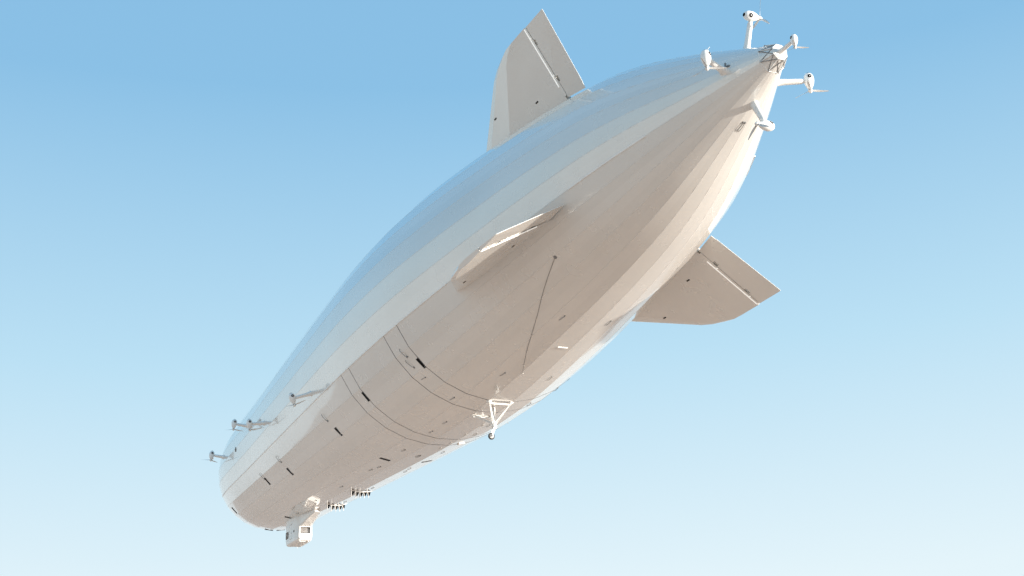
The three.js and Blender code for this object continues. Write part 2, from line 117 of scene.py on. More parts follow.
GEAR_STATION = 79.2
GEAR_FEET = [(80.5, 0.95), (80.5, -0.95), (76.8, 0.8), (76.8, -0.8)]
CASTOR_TRAIL = 0.3
WHEEL_DROP = 2.5

WINDOW_BAND = (-10.1, -9.35)
WINDOW_SPANS = {-1: [(20.4, 21.5)], 1: [(20.4, 21.5), (21.8, 22.7), (23, 23.9)]}
SEAT_STATIONS = (21.9, 22.95)


def smooth_radius(station):
    """The hull's radius over its corners, on a smooth curve through the profile."""
    s, r = (np.array(column, float) for column in zip(*HULL_PROFILE))
    slope = np.gradient(r, s)
    slope[0] = (r[1] - r[0]) / (s[1] - s[0])
    k = np.clip(np.searchsorted(s, station) - 1, 0, len(s) - 2)
    span = s[k + 1] - s[k]
    t = (station - s[k]) / span
    a = (1 + 2 * t) * (1 - t) ** 2 * r[k] + t * t * (3 - 2 * t) * r[k + 1]
    return a + span * (t * (1 - t) ** 2 * slope[k] - t * t * (1 - t) * slope[k + 1])


def place(station, y, z):
    """A point given in real metres, in the model's metres."""
    return np.array([(ORIGIN_STATION - station) * SCALE, y * SCALE, z * SCALE])


def facet_radius(station, angle, lift=0.0):
    """Distance from the axis to the slightly crowned facets at an angle in degrees, in real metres."""
    half_width = FACET_WIDTH / 2
    off = (angle + half_width) % FACET_WIDTH - half_width
    crown = FACET_CROWN * (1 - (off / half_width) ** 2)
    corner = smooth_radius(station)
    flat = corner * math.cos(math.radians(half_width)) / math.cos(math.radians(off))
    return flat + crown * min(1.0, corner / CROWN_FADE_RADIUS) + lift


def hull_point(station, angle, lift=0.0):
    r = facet_radius(station, angle, lift)
    a = math.radians(angle)
    return place(station, r * math.sin(a), -r * math.cos(a))


def radial(angle):
    a = math.radians(angle)
    return np.array([0, math.sin(a), -math.cos(a)])


def around(angle):
    a = math.radians(angle)
    return np.array([0, math.cos(a), math.sin(a)])


# Materials


def new_material(name, color, roughness, **sockets):
    mat = bpy.data.materials.new(name)
    mat.use_nodes = True
    bsdf = mat.node_tree.nodes["Principled BSDF"]
    bsdf.inputs["Base Color"].default_value = (*color, 1)
    bsdf.inputs["Roughness"].default_value = roughness
    for key, value in sockets.items():
        bsdf.inputs[key.replace("_", " ")].default_value = value
    return mat


def add_node(mat, kind, **settings):
    node = mat.node_tree.nodes.new(kind)
    for key, value in settings.items():
        setattr(node, key, value)
    return node


def link(mat, source, target):
    mat.node_tree.links.new(source, target)


def math_node(mat, operation, *values):
    node = add_node(mat, "ShaderNodeMath", operation=operation)
    for socket, value in zip(node.inputs, values):
        if isinstance(value, (int, float)):
            socket.default_value = value
        else:
            link(mat, value, socket)
    return node.outputs[0]


def object_coords(mat, stretch=(1, 1, 1)):
    coords = add_node(mat, "ShaderNodeTexCoord")
    mapping = add_node(mat, "ShaderNodeMapping")
    mapping.inputs["Scale"].default_value = stretch
    link(mat, coords.outputs["Object"], mapping.inputs["Vector"])
    return mapping.outputs["Vector"]


def noise(mat, scale, detail=3.0, stretch=(1, 1, 1), roughness=0.5):
    node = add_node(mat, "ShaderNodeTexNoise")
    node.inputs["Scale"].default_value = scale
    node.inputs["Detail"].default_value = detail
    node.inputs["Roughness"].default_value = roughness
    link(mat, object_coords(mat, stretch), node.inputs["Vector"])
    return node.outputs["Fac"]


def ramp(mat, value, low, high, color_low, color_high):
    node = add_node(mat, "ShaderNodeMapRange")
    node.inputs["From Min"].default_value = low
    node.inputs["From Max"].default_value = high
    link(mat, value, node.inputs["Value"])
    blend = add_node(mat, "ShaderNodeMix", data_type="RGBA")
    link(mat, node.outputs["Result"], blend.inputs["Factor"])
    blend.inputs["A"].default_value = (*color_low, 1)
    blend.inputs["B"].default_value = (*color_high, 1)
    return blend.outputs["Result"]


def map_value(mat, value, low, high, to_low, to_high):
    node = add_node(mat, "ShaderNodeMapRange")
    for key, number in zip(("From Min", "From Max", "To Min", "To Max"), (low, high, to_low, to_high)):
        node.inputs[key].default_value = number
    link(mat, value, node.inputs["Value"])
    return node.outputs["Result"]


def bump(mat, height, strength, distance):
    node = add_node(mat, "ShaderNodeBump")
    node.inputs["Strength"].default_value = strength
    node.inputs["Distance"].default_value = distance
    link(mat, height, node.inputs["Height"])
    return node.outputs["Normal"]


def shader(mat):
    return mat.node_tree.nodes["Principled BSDF"]


BAND_SHIFT = 0.5
BAND_CONTRAST = 0.3


def facet_values(mat):
    """A random number for each of the lengthwise bands, which meet at the middles of the facets."""
    coords = add_node(mat, "ShaderNodeTexCoord")
    split = add_node(mat, "ShaderNodeSeparateXYZ")
    link(mat, coords.outputs["Object"], split.inputs[0])
    angle = math_node(mat, "ARCTAN2", split.outputs[1], math_node(mat, "MULTIPLY", split.outputs[2], -1))
    turn = math_node(mat, "MULTIPLY_ADD", angle, FACETS / (2 * math.pi), BAND_SHIFT)
    join = add_node(mat, "ShaderNodeCombineXYZ")
    link(mat, math_node(mat, "ROUND", turn), join.inputs[0])
    white = add_node(mat, "ShaderNodeTexWhiteNoise")
    link(mat, join.outputs[0], white.inputs["Vector"])
    return white.outputs["Value"]


def skin_material(name, light, dark):
    """Glossy laminate: bands a shade apart, faint soiling and slow ripples in its sheen."""
    mat = new_material(name, light, 0.24, Metallic=0.2, Coat_Weight=1.0, Coat_Roughness=0.03,
                       Coat_IOR=1.6)
    bsdf = shader(mat)
    soil = noise(mat, 0.9, 5.0, (0.6, 1.6, 1.6), 0.6)
    bands = math_node(mat, "MULTIPLY", facet_values(mat), BAND_CONTRAST)
    total = math_node(mat, "ADD", bands, soil)
    link(mat, ramp(mat, total, 0.95, 0.35, dark, light), bsdf.inputs["Base Color"])
    link(mat, map_value(mat, noise(mat, 6.0, 3.0), 0.3, 0.7, 0.18, 0.3), bsdf.inputs["Roughness"])
    slow = noise(mat, 1.6, 2.0, (0.5, 1, 1))
    fine = math_node(mat, "MULTIPLY", noise(mat, 14.0, 2.0, (1, 0.4, 0.4)), 0.05)
    link(mat, bump(mat, math_node(mat, "ADD", slow, fine), 0.05, 0.01), bsdf.inputs["Normal"])
    return mat


def paint_material(name, color, roughness=0.35, mottled=0.05):
    """Sprayed paint with fine orange peel and slight unevenness of tone."""
    mat = new_material(name, color, roughness, Coat_Weight=0.3, Coat_Roughness=0.15)
    bsdf = shader(mat)
    darker = tuple(c * (1 - 2 * mottled) for c in color)
    link(mat, ramp(mat, noise(mat, 9.0, 4.0), 0.3, 0.7, darker, color), bsdf.inputs["Base Color"])
    link(mat, map_value(mat, noise(mat, 30.0), 0.3, 0.7, roughness - 0.06, roughness + 0.1),
         bsdf.inputs["Roughness"])
    link(mat, bump(mat, noise(mat, 220.0, 2.0), 0.12, 0.001), bsdf.inputs["Normal"])
    return mat


def dark_material(name, color, roughness, grain=160.0, gloss=0.5):
    """Grainy tape, fibre or cloth, with paler flecks."""
    mat = new_material(name, color, roughness, Specular_IOR_Level=gloss)
    bsdf = shader(mat)
    lighter = tuple(min(1, c * 1.8 + 0.01) for c in color)
    link(mat, ramp(mat, noise(mat, grain, 4.0), 0.35, 0.7, color, lighter), bsdf.inputs["Base Color"])
    link(mat, bump(mat, noise(mat, grain * 2, 2.0), 0.2, 0.0006), bsdf.inputs["Normal"])
    return mat


def weave_material(name, color, roughness):
    """Woven composite under clear coat."""
    mat = new_material(name, color, roughness, Coat_Weight=0.6, Coat_Roughness=0.12)
    bsdf = shader(mat)
    checker = add_node(mat, "ShaderNodeTexChecker")
    checker.inputs["Scale"].default_value = 260
    checker.inputs["Color1"].default_value = (*color, 1)
    checker.inputs["Color2"].default_value = (*(c * 1.7 for c in color), 1)
    link(mat, object_coords(mat), checker.inputs["Vector"])
    link(mat, checker.outputs["Color"], bsdf.inputs["Base Color"])
    link(mat, bump(mat, checker.outputs["Fac"], 0.15, 0.0004), bsdf.inputs["Normal"])
    return mat


def glass_material(name):
    """Panes with faint smears, whose pale pinkish-grey colour is partly a tint and partly a painted
    reflection.
    """
    mat = new_material(name, (0.5, 0.47, 0.45), 0.04, Coat_Weight=1.0, Coat_Roughness=0.03,
                       Transmission_Weight=0.35, IOR=1.5, Metallic=0.3)
    smears = map_value(mat, noise(mat, 18.0, 4.0), 0.3, 0.75, 0.02, 0.1)
    link(mat, smears, shader(mat).inputs["Roughness"])
    return mat


def painted_gap_sunlight_material(name):
    """Pale plastic with a faint glow, which stands in for sunlight along the hinge gap."""
    mat = paint_material(name, (0.93, 0.92, 0.89), 0.4, 0.02)
    shader(mat).inputs["Emission Color"].default_value = (1, 0.97, 0.92, 1)
    shader(mat).inputs["Emission Strength"].default_value = 0.4
    return mat


def rubber_material(name):
    mat = new_material(name, (0.02, 0.02, 0.02), 0.7)
    bsdf = shader(mat)
    link(mat, ramp(mat, noise(mat, 60.0, 4.0), 0.35, 0.7, (0.016, 0.016, 0.016), (0.06, 0.055, 0.05)),
         bsdf.inputs["Base Color"])
    link(mat, bump(mat, noise(mat, 300.0, 2.0), 0.3, 0.0008), bsdf.inputs["Normal"])
    return mat


# Meshes


def make_piece(name, shapes, material, body="hull", sharp=32, replaces=()):
    """One object from a list of (vertices, faces) shapes."""
    verts, faces = [], []
    for shape_verts, shape_faces in shapes:
        base = len(verts)
        verts.extend(tuple(float(c) for c in v) for v in shape_verts)
        faces.extend(tuple(base + i for i in face) for face in shape_faces)
    mesh = bpy.data.meshes.new(name)
    mesh.from_pydata(verts, [], faces)
    mesh.validate()
    mesh.polygons.foreach_set("use_smooth", [True] * len(mesh.polygons))
    mesh.set_sharp_from_angle(angle=math.radians(sharp))
    mesh.materials.append(material)
    piece = bpy.data.objects.new(name, mesh)
    bpy.context.collection.objects.link(piece)
    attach(piece, body)
    if replaces:
        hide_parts(*replaces)
    return piece


def sharpen_lines(piece, columns, every):
    """Creases a lofted skin along its lengthwise corners and round its two ends."""
    mesh = piece.data
    last = len(mesh.vertices) // columns - 1
    sharp = []
    for edge in mesh.edges:
        a, b = edge.vertices
        along = a % columns == b % columns and a % every == 0
        end = a // columns == b // columns and a // columns in (0, last)
        sharp.append(along or end)
    mesh.attributes["sharp_edge"].data.foreach_set("value", sharp)


def signed_volume(verts, faces):
    total = 0.0
    for face in faces:
        for i in range(1, len(face) - 1):
            a, b, c = (verts[face[k]] for k in (0, i, i + 1))
            total += np.dot(a, np.cross(b, c))
    return total


def facing_out(verts, faces):
    verts = [np.asarray(v, float) for v in verts]
    if signed_volume(verts, faces) < 0:
        faces = [tuple(reversed(face)) for face in faces]
    return verts, faces


def loft(rings):
    """A closed skin over rings of equal point counts."""
    n = len(rings[0])
    verts = [p for ring in rings for p in ring]
    faces = []
    for k in range(len(rings) - 1):
        for i in range(n):
            j = (i + 1) % n
            faces.append((k * n + i, k * n + j, (k + 1) * n + j, (k + 1) * n + i))
    last = (len(rings) - 1) * n
    faces.append(tuple(reversed(range(n))))
    faces.append(tuple(last + i for i in range(n)))
    return facing_out(verts, faces)


class Frame:
    """Local real metres to model metres. x and z are given, y is z cross x."""

    def __init__(self, origin, x, z, scale=1.0):
        self.origin = np.asarray(origin, float)
        self.x = np.asarray(x, float)
        self.z = np.asarray(z, float)
        self.y = np.cross(self.z, self.x)
        self.scale = scale

    def at(self, x, y, z):
        return self.origin + (self.x * x + self.y * y + self.z * z) * self.scale * SCALE

    def moved(self, x, y, z):
        return Frame(self.at(x, y, z), self.x, self.z, self.scale)

    def upended(self, x, y, z):
        """A frame at a local point whose x axis is this one's z axis, for turned shapes."""
        return Frame(self.at(x, y, z), self.z, self.x, self.scale)


def circle(sides):
    return [2 * math.pi * (i + 0.5) / sides for i in range(sides)]


def lathe(frame, profile, sides):
    rings = [[frame.at(x, r * math.cos(a), r * math.sin(a)) for a in circle(sides)] for x, r in profile]
    return loft(rings)


def oval_bar(frame, sections, sides):
    rings = [[frame.at(rx * math.cos(a), ry * math.sin(a), z) for a in circle(sides)]
             for z, rx, ry in sections]
    return loft(rings)


def box_shape(frame, xs, ys, zs, bevel=0.0):
    """A box, with its long edges cut back when a bevel is given."""
    (x0, x1), (y0, y1), (z0, z1) = xs, ys, zs
    if bevel == 0:
        outline = [(x0, y0), (x1, y0), (x1, y1), (x0, y1)]
        return loft([[frame.at(x, y, z) for x, y in outline] for z in (z0, z1)])
    b = bevel
    outline = [(x0 + b, y0), (x1 - b, y0), (x1, y0 + b), (x1, y1 - b),
               (x1 - b, y1), (x0 + b, y1), (x0, y1 - b), (x0, y0 + b)]
    middle = ((x0 + x1) / 2, (y0 + y1) / 2)
    shrink = 1 - 2 * b / max(x1 - x0, y1 - y0)

    def ring(z, k):
        return [frame.at(middle[0] + (x - middle[0]) * k, middle[1] + (y - middle[1]) * k, z)
                for x, y in outline]

    return loft([ring(z0, shrink), ring(z0 + b, 1), ring(z1 - b, 1), ring(z1, shrink)])


def sweep(points, radius, sides=8):
    """A round bar through model points; the radius is in real metres."""
    points = [np.asarray(p, float) for p in points]
    rings = []
    side = None
    for i, p in enumerate(points):
        ahead = points[min(i + 1, len(points) - 1)] - points[max(i - 1, 0)]
        ahead = ahead / np.linalg.norm(ahead)
        if side is None:
            helper = np.array([0.0, 0.0, 1.0]) if abs(ahead[2]) < 0.8 else np.array([0.0, 1.0, 0.0])
            side = np.cross(helper, ahead)
        side = side - ahead * np.dot(side, ahead)
        side = side / np.linalg.norm(side)
        up = np.cross(ahead, side)
        rings.append([p + (side * math.cos(a) + up * math.sin(a)) * radius * SCALE
                      for a in circle(sides)])
    return loft(rings)


def bar(frame, points, radius, sides=8):
    """A round bar through a frame's local points."""
    return sweep([frame.at(*point) for point in points], radius, sides)


def spread(low, high, count):
    return [low + (high - low) * i / (count - 1) for i in range(count)]


def between(start, end, t):
    return tuple(a + (b - a) * t for a, b in zip(start, end))


# Hull

SKIN_CREASE = 8
TANGENT_REACH = 0.2
RIBBON_STEP = 1.2
RIBBON_ROOT = -0.01
SEAM_START = 1.2
SEAM_END = TAIL_START - 0.1
SEAM_WIDTH = 0.045
SEAM_LIFT = 0.003
RING_LINES = [80.7, 78, 69.3, 67.1]
RING_LINE_LIFT = 0.012
RAIL_ANGLE = 66
RAIL_SPANS = [(10, 89.5), (105.2, 112)]
RAIL_WIDTH = 0.1
RAIL_LIFT = 0.05


def skin_shell(stations):
    angles = [FACET_WIDTH * (k / COLUMNS_PER_FACET + 0.5) for k in range(FACETS * COLUMNS_PER_FACET)]
    return loft([[hull_point(s, a) for a in angles] for s in stations])


def skin_piece(name, stations, node, mats):
    """A length of the envelope in place of its CAD node, creased along the facets' corners."""
    piece = make_piece(name, [skin_shell(stations)], mats["skin"], sharp=SKIN_CREASE,
                       replaces=(node,))
    sharpen_lines(piece, FACETS * COLUMNS_PER_FACET, COLUMNS_PER_FACET)


def ribbon_along(angle, start, end, width, lift):
    """A thin strip that follows the hull lengthwise; it wraps the corner when it lies on one."""
    rings = []
    for s in spread(start, end, max(2, int((end - start) / RIBBON_STEP))):
        half = math.degrees(width / 2 / facet_radius(s, angle))
        ring = [hull_point(s, angle + k * half, lift) for k in (-1, 0, 1)]
        ring += [hull_point(s, angle + k * half, RIBBON_ROOT) for k in (1, 0, -1)]
        rings.append(ring)
    return loft(rings)


def ribbon_round(station, start, end, width, lift):
    """A thin strip round the hull at a station, between two angles."""
    rings = []
    for a in spread(start, end, max(3, int(abs(end - start) / 3) + 1)):
        ring = [hull_point(station + k * width / 2, a, lift) for k in (-1, 1)]
        ring += [hull_point(station + k * width / 2, a, RIBBON_ROOT) for k in (1, -1)]
        rings.append(ring)
    return loft(rings)


def surface_frame(station, angle, turn=0.0):
    """A frame on the skin: z points out, x aft, turned round z by degrees."""
    ahead = hull_point(station - TANGENT_REACH, angle)
    behind = hull_point(station + TANGENT_REACH, angle)
    x = behind - ahead
    x = x / np.linalg.norm(x)
    y = around(angle)
    z = np.cross(x, y)
    if np.dot(z, radial(angle)) < 0:
        z = -z
    a = math.radians(turn)
    side = np.cross(z, x)
    x = x * math.cos(a) + side * math.sin(a)
    return Frame(hull_point(station, angle), x, z)


def build_hull(mats):
    nose_end = NOSE_STATIONS[-1]
    body = spread(nose_end + HULL_STEP * 0.6, TAIL_START, int((TAIL_START - nose_end) / HULL_STEP))
    skin_piece("hull_skin", NOSE_STATIONS + body, "hull_envelope", mats)
    corners = [FACET_WIDTH * (k + 0.5) for k in range(FACETS)]
    tapes = [ribbon_along(a, SEAM_START, SEAM_END, SEAM_WIDTH, SEAM_LIFT) for a in corners]
    make_piece("seam_tapes", tapes, mats["seam"])
    lines = [ribbon_round(s, -RAIL_ANGLE, RAIL_ANGLE, SEAM_WIDTH, RING_LINE_LIFT) for s in RING_LINES]
    make_piece("ring_lines", lines, mats["line"])
    rails = [ribbon_along(sign * RAIL_ANGLE, start, end, RAIL_WIDTH, RAIL_LIFT)
             for sign in (1, -1) for start, end in RAIL_SPANS]
    make_piece("side_rails", rails, mats["white"])


SLOT_ROWS = [(80.55, 44.3), (69.15, 49), (58.8, 43.8), (39.9, 43.1), (31.25, 48), (12, 46.8)]
BELLY_SLOTS = [(58.8, 12.8), (22.65, 9.5), (11.25, 6)]
SLOT_LENGTH = 0.95
SLOT_WIDTH = 0.34
SLOT_RIM = 0.03
LOUVRE_COUNT = 8
LOUVRE_HALF = 0.012
LOUVRE_MARGIN = 0.1


def slot_parts(station, angle):
    """A slot's dark well, the four bars of its frame, and its louvres."""
    f = surface_frame(station, angle)
    half, wide = SLOT_LENGTH / 2, SLOT_WIDTH / 2
    outer_half, outer_wide = half + SLOT_RIM, wide + SLOT_RIM
    well = box_shape(f, (-wide, wide), (-half, half), (-0.03, 0.02), 0.015)
    full = (-outer_half, outer_half)
    edges = [((-outer_wide, -wide), full), ((wide, outer_wide), full),
             ((-wide, wide), (-outer_half, -half)), ((-wide, wide), (half, outer_half))]
    frame_bars = [box_shape(f, xs, ys, (-0.02, 0.03)) for xs, ys in edges]
    louvres = [box_shape(f, (-wide, wide), (y - LOUVRE_HALF, y + LOUVRE_HALF), (0.01, 0.028))
               for y in spread(-half + LOUVRE_MARGIN, half - LOUVRE_MARGIN, LOUVRE_COUNT)]
    return well, frame_bars, louvres


def build_slots(mats):
    wells, frames, louvres = [], [], []
    for station, angle in SLOT_ROWS + BELLY_SLOTS:
        for sign in (1, -1):
            well, bars, blades = slot_parts(station, sign * angle)
            wells.append(well)
            frames += bars
            louvres += blades
    make_piece("air_slots", wells, mats["black"])
    make_piece("air_slot_frames", frames, mats["line"])
    make_piece("air_slot_louvres", louvres, mats["black"])


CABLE_FEEDS = [(79.4, 53.5), (79.1, 47.5), (58.3, 55), (39.6, 55), (30.9, 53.8)]
FEED_TURN = 20
FEED_PATH = [(0, -0.45, 0), (0, -0.3, 0.09), (0, 0.3, 0.09), (0, 0.45, 0)]
EYES = [(79, 37.9), (78.8, 20.7), (73.6, 11.8), (85.6, 12.8), (70.5, 12.1), (63.3, 11.4), (62, 0.5),
        (53.7, 11), (55.5, 9.5), (44.1, 11), (34.7, 11.6), (26, 8.9), (95.6, 13.6), (116.2, -1.7)]
EYE_PATH = [(-0.35, 0.06, 0.02), (-0.1, 0.03, 0.06), (0.2, 0, 0.05), (0.35, -0.03, 0.01)]
EYE_STUD = [(-0.02, 0.06), (0.04, 0.06), (0.06, 0.035)]


def build_small_fittings(mats):
    """Cable feeds above the slots, and the hooked eyes scattered under the belly."""
    feeds, eyes = [], []
    for station, angle in CABLE_FEEDS:
        for sign in (1, -1):
            f = surface_frame(station, sign * angle, FEED_TURN * sign)
            feeds.append(bar(f, FEED_PATH, 0.022))
            feeds.append(box_shape(f, (-0.09, 0.09), (-0.56, -0.4), (-0.02, 0.05), 0.02))
    for station, angle in EYES:
        for sign in (1, -1):
            f = surface_frame(station, sign * angle)
            eyes.append(bar(f, EYE_PATH, 0.018))
            eyes.append(lathe(f.upended(0.36, -0.03, 0), EYE_STUD, 12))
    make_piece("cable_feeds", feeds, mats["grey"])
    make_piece("belly_eyes", eyes, mats["grey"])


SCOOP_ROWS = [((42.6, 0), (40.6, -16)), ((33.3, -1.5), (29.6, -22))]
SCOOP_COUNT = 5
SCOOP_POST = [(0.36, 0.24, 0), (0.36, 0.24, 0.45), (0.2, 0.24, 0.62)]


def scoop_rings(f):
    rings = []
    for t in spread(0, 1, 6):
        x = 0.28 - 0.56 * t
        top = 0.08 + 0.3 * math.sin(t * math.pi * 0.55)
        half = 0.16 - 0.05 * t
        corners = ((-half, 0.01), (half, 0.01), (half * 0.8, top), (-half * 0.8, top))
        rings.append([f.at(x, y, z) for y, z in corners])
    return rings


def build_scoops(mats):
    """Slanting rows of dark scoops under the keel, each on a pale base with a thin white post."""
    bases, scoops, posts = [], [], []
    for first, last in SCOOP_ROWS:
        for t in spread(0, 1, SCOOP_COUNT):
            f = surface_frame(*between(first, last, t))
            bases.append(box_shape(f, (-0.45, 0.5), (-0.36, 0.36), (-0.08, 0.03), 0.02))
            scoops.append(loft(scoop_rings(f)))
            posts.append(bar(f, SCOOP_POST, 0.03))
    make_piece("scoop_bases", bases, mats["white"])
    make_piece("scoops", scoops, mats["black"])
    make_piece("scoop_posts", posts, mats["white"])


ROPE_POINTS = [
    (100.7, 41.3), (97.7, 33), (94.8, 24.7), (92.3, 18.7), (90.1, 13.8), (88, 8.6), (86.6, 5.2),
]
ROPE_RADIUS = 0.016
ROPE_LIFT = 0.04
FIRST_LASHED = 3
LASHING_RING = [(-0.06, 0.012), (-0.04, 0.03), (0.04, 0.03), (0.06, 0.012)]
ANCHOR_OUTLINE = [(0, 0.14), (0.05, 0.13), (0.08, 0.06)]
KEEL_BAR = (91.6, -0.9)
KEEL_BOX = (67.2, -12.4)
SIDE_MARKS = [(117.8, 97), (117.8, -97), (23.4, 89), (23.4, -89)]
KEEL_LINE = [(65.8, -4), (68, -4.6), (71, -5.6), (74.1, -7.2)]


def mooring_line():
    path = []
    for start, end in zip(ROPE_POINTS, ROPE_POINTS[1:]):
        path += [between(start, end, t) for t in spread(0, 1, 7)[:-1]]
    path.append(ROPE_POINTS[-1])
    return sweep([hull_point(s, a, ROPE_LIFT) for s, a in path], ROPE_RADIUS, 6)


def build_rigging(mats):
    """A tight mooring line laid along the skin, with its lashings, and a line along the keel."""
    make_piece("mooring_line", [mooring_line()], mats["rope"])
    lashings = []
    for point in ROPE_POINTS[FIRST_LASHED:]:
        f = surface_frame(*point)
        lashings.append(lathe(f.moved(0, 0, 0.03), LASHING_RING, 12))
        lashings.append(box_shape(f, (-0.04, 0.04), (-0.08, 0.08), (-0.02, 0.02), 0.01))
    for point in KEEL_LINE:
        lashings.append(box_shape(surface_frame(*point), (-0.3, 0.3), (-0.03, 0.03), (-0.01, 0.035), 0.01))
    make_piece("lashings", lashings, mats["seam"])
    anchor = surface_frame(*ROPE_POINTS[0]).upended(0, 0, -0.02)
    make_piece("line_anchor", [lathe(anchor, ANCHOR_OUTLINE, 16)], mats["grey"])
    fittings = [box_shape(surface_frame(*KEEL_BAR), (-0.05, 0.05), (-0.42, 0.42), (-0.02, 0.05), 0.02),
                box_shape(surface_frame(*KEEL_BOX), (-0.22, 0.22), (-0.3, 0.3), (-0.05, 0.1), 0.04)]
    make_piece("keel_fittings", fittings, mats["white"])
    marks = []
    for station, angle in SIDE_MARKS:
        f = surface_frame(station, angle)
        marks.append(box_shape(f, (-0.04, 0.04), (-0.28, 0.28), (-0.02, 0.07), 0.01))
        marks.append(box_shape(f, (-0.04, 0.3), (-0.04, 0.04), (-0.02, 0.09), 0.01))
    make_piece("side_marks", marks, mats["grey"])


# Tail

TRUSS_ENDS = (119.8, 120.65)
TRUSS_SIDES = 8
TRUSS_BAR = 0.026
TRUSS_STAY = 0.02


def pylon_shape(frame, height):
    """A smooth streamlined strut with a flared foot and a collar under the pod."""
    sections = [
        (-height - 0.3, 0.36, 0.29), (-height - 0.02, 0.34, 0.27), (-height + 0.07, 0.275, 0.215),
        (-height + 0.25, 0.24, 0.19), (-height + 0.5, 0.22, 0.175), (-0.6, 0.19, 0.16),
        (-0.42, 0.18, 0.155), (-0.385, 0.155, 0.13),
    ]
    turned = Frame(frame.origin, frame.y, frame.z, frame.scale)
    strut = oval_bar(turned, sections, 28)
    collar = oval_bar(turned, [(-0.4, 0.11, 0.11), (-0.36, 0.12, 0.12), (-0.3, 0.12, 0.12)], 24)
    spigot = oval_bar(turned, [(-0.34, 0.088, 0.088), (-0.1, 0.088, 0.088)], 20)
    return [strut, collar, spigot]


def polyline_radius(station):
    s, r = zip(*HULL_PROFILE)
    return float(np.interp(station, s, r))


def side_frame(pod, side):
    station, angle, height = pod
    out = radial(side * angle)
    down = -side * around(side * angle)
    distance = polyline_radius(station) + height
    return Frame(place(station, distance * out[1], distance * out[2]), down, out)


def tail_frame(angle):
    straight = radial(angle)
    out = straight * math.cos(TAIL_POD_LEAN) + np.array([-math.sin(TAIL_POD_LEAN), 0, 0])
    toward = (0, 0, -1) if abs(straight[1]) > 0.5 else (0, -straight[2], 0)
    root = polyline_radius(TAIL_POD_STATION)
    base = place(TAIL_POD_STATION, root * straight[1], root * straight[2])
    return Frame(base + out * TAIL_POD_HEIGHT * SCALE, toward, out)


def stern_frame():
    return Frame(place(STERN_STATION, 0, 0), (0, 0, -1), (-1, 0, 0), STERN_SCALE)


def build_tail(mats):
    skin_piece("tail_skin", spread(TAIL_START + TAIL_GAP, HULL_END, TAIL_RINGS), "tail_cone", mats)
    struts = []
    for angle in TAIL_PODS.values():
        struts += pylon_shape(tail_frame(angle), TAIL_POD_HEIGHT)
    struts += pylon_shape(stern_frame(), (STERN_STATION - HULL_END) / STERN_SCALE)
    make_piece("tail_pylons", struts, mats["white"], sharp=40)
    build_tail_truss(mats)


def build_tail_truss(mats):
    """The small open cage round the very end of the tail cone, with dark crossed stays."""
    bars, stays = [], []
    corners = [360 / TRUSS_SIDES * (k + 0.5) for k in range(TRUSS_SIDES)]
    low, high = TRUSS_ENDS
    for a, b in zip(corners, corners[1:] + corners[:1]):
        bars.append(sweep([hull_point(low, a, 0.05), hull_point(high, a, 0.05)], TRUSS_BAR))
        stays.append(sweep([hull_point(low, a, 0.06), hull_point(high, b, 0.06)], TRUSS_STAY))
        stays.append(sweep([hull_point(low, b, 0.08), hull_point(high, a, 0.08)], TRUSS_STAY))
        for s in TRUSS_ENDS:
            bars.append(sweep([hull_point(s, a, 0.05), hull_point(s, b, 0.05)], TRUSS_BAR))
    make_piece("tail_truss", bars, mats["white"])
    make_piece("tail_truss_stays", stays, mats["grey"])


# Pods and propellers

POD_OUTLINE = [
    (-0.52, 0.03), (-0.518, 0.07), (-0.505, 0.12), (-0.47, 0.185), (-0.41, 0.235), (-0.33, 0.275),
    (-0.22, 0.3), (-0.1, 0.311), (0.02, 0.305), (0.13, 0.285), (0.24, 0.25), (0.34, 0.21),
    (0.42, 0.172), (0.48, 0.143), (0.505, 0.13), (0.507, 0.11),
]
NOSE_DISC = [(-0.545, 0.06), (-0.54, 0.092), (-0.525, 0.108), (-0.5, 0.112)]
BELT_PLACES = (-0.12, 0.36)
BELT_SECTION = [(-0.006, -0.01), (-0.004, 0.003), (0.004, 0.003), (0.006, -0.01)]
VENT_PLACE = -0.2
VENT_RADIUS = 0.125
VENT_LIP = [(1.16, -0.01), (1.12, 0.01), (1.02, 0.012), (0.97, -0.01)]  # share of the radius, lift
VENT_HOLE = [(1.02, -0.012), (1.0, 0.006), (0.5, 0.008), (0.05, 0.008)]
VENT_CENTRE = [(0.34, -0.01), (0.32, 0.016), (0.2, 0.022), (0.03, 0.024)]
HUB_OUTLINE = [
    (0.21, 0.04), (0.52, 0.04), (0.556, 0.1), (0.56, 0.125), (0.6, 0.13), (0.68, 0.13), (0.72, 0.118),
    (0.76, 0.092), (0.79, 0.062), (0.812, 0.03), (0.82, 0.008),
]
BLADE_COUNT = 3
BLADE_PLANE = 0.63
BLADE_SHAPE = [  # distance from the shaft, chord, thickness, pitch, sweep
    (0.07, 0.1, 0.05, 55, 0.0), (0.18, 0.115, 0.042, 47, 0.005), (0.33, 0.14, 0.034, 38, 0.01),
    (0.5, 0.15, 0.028, 32, 0.012), (0.68, 0.14, 0.023, 27, 0.01), (0.85, 0.12, 0.019, 23, 0.0),
    (1.0, 0.1, 0.016, 20, -0.012), (1.12, 0.075, 0.013, 18, -0.026), (1.185, 0.045, 0.01, 17, -0.04),
]
BLADE_CUFF = [(0.08, 0.05, 0.05), (0.15, 0.05, 0.05), (0.17, 0.035, 0.045)]
SIDE_BLADE_TURNS = [20, 45, 70, 95]
STERN_BLADE_TURN = 75


def pod_radius(x):
    xs, rs = zip(*POD_OUTLINE)
    return float(np.interp(x, xs, rs))


